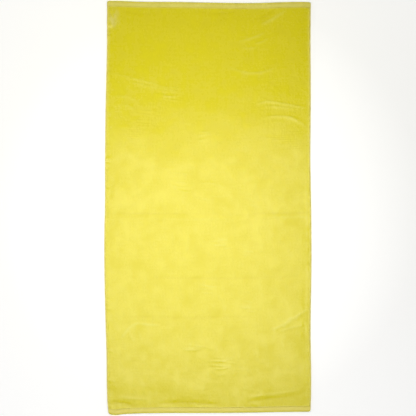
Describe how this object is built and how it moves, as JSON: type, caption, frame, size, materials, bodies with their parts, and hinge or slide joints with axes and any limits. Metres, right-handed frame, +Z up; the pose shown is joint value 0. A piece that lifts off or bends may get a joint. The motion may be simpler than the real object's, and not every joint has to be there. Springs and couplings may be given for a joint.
{
  "type": "beach towel",
  "caption": "Plain rectangular velour beach towel laid flat, cut pile on the front and loops on the back, with turned and sewn hems, a care label and a crosswise fold.",
  "frame": {"origin": "on the surface that the towel lies on, under the centre of the towel", "axes": "+Z up through the cloth to the cut pile front face, +X across the width to the right, +Y along the length to the head end, which the care label is sewn into"},
  "size_m": [0.762, 1.524, 0.005],
  "materials": {
    "velour": "cut pile with a soft sheen",
    "terry": "matt uncut loops",
    "flat_weave": "flat woven, matt",
    "thread": "spun polyester, slight sheen",
    "label": "satin ribbon"
  },
  "bodies": {
    "foot_half": {"foot_velour_pile": "velour", "foot_ground_weave": "flat_weave", "foot_terry_pile": "terry", "foot_end_hem": "flat_weave", "foot_left_side_hem": "flat_weave", "foot_right_side_hem": "flat_weave", "foot_end_seam_needle_thread": "thread", "foot_end_seam_bobbin_thread": "thread", "foot_left_seam_needle_thread": "thread", "foot_left_seam_bobbin_thread": "thread", "foot_right_seam_needle_thread": "thread", "foot_right_seam_bobbin_thread": "thread"},
    "head_half": {"head_velour_pile": "velour", "head_ground_weave": "flat_weave", "head_terry_pile": "terry", "head_end_hem": "flat_weave", "head_left_side_hem": "flat_weave", "head_right_side_hem": "flat_weave", "head_end_seam_needle_thread": "thread", "head_end_seam_bobbin_thread": "thread", "head_left_seam_needle_thread": "thread", "head_left_seam_bobbin_thread": "thread", "head_right_seam_needle_thread": "thread", "head_right_seam_bobbin_thread": "thread"},
    "label": {"care_label": "label"}
  },
  "joints": [
    {"name": "fold_in_half", "type": "hinge", "parent": "foot_half", "child": "head_half", "pos_m": [0, 0, 0.0081], "axis": [1, 0, 0], "range_deg": [0, 180]},
    {"name": "label_flip", "type": "hinge", "parent": "head_half", "child": "label", "pos_m": [0.215, 0.7417, 0.0001], "axis": [1, 0, 0], "range_deg": [0, 170]}
  ]
}
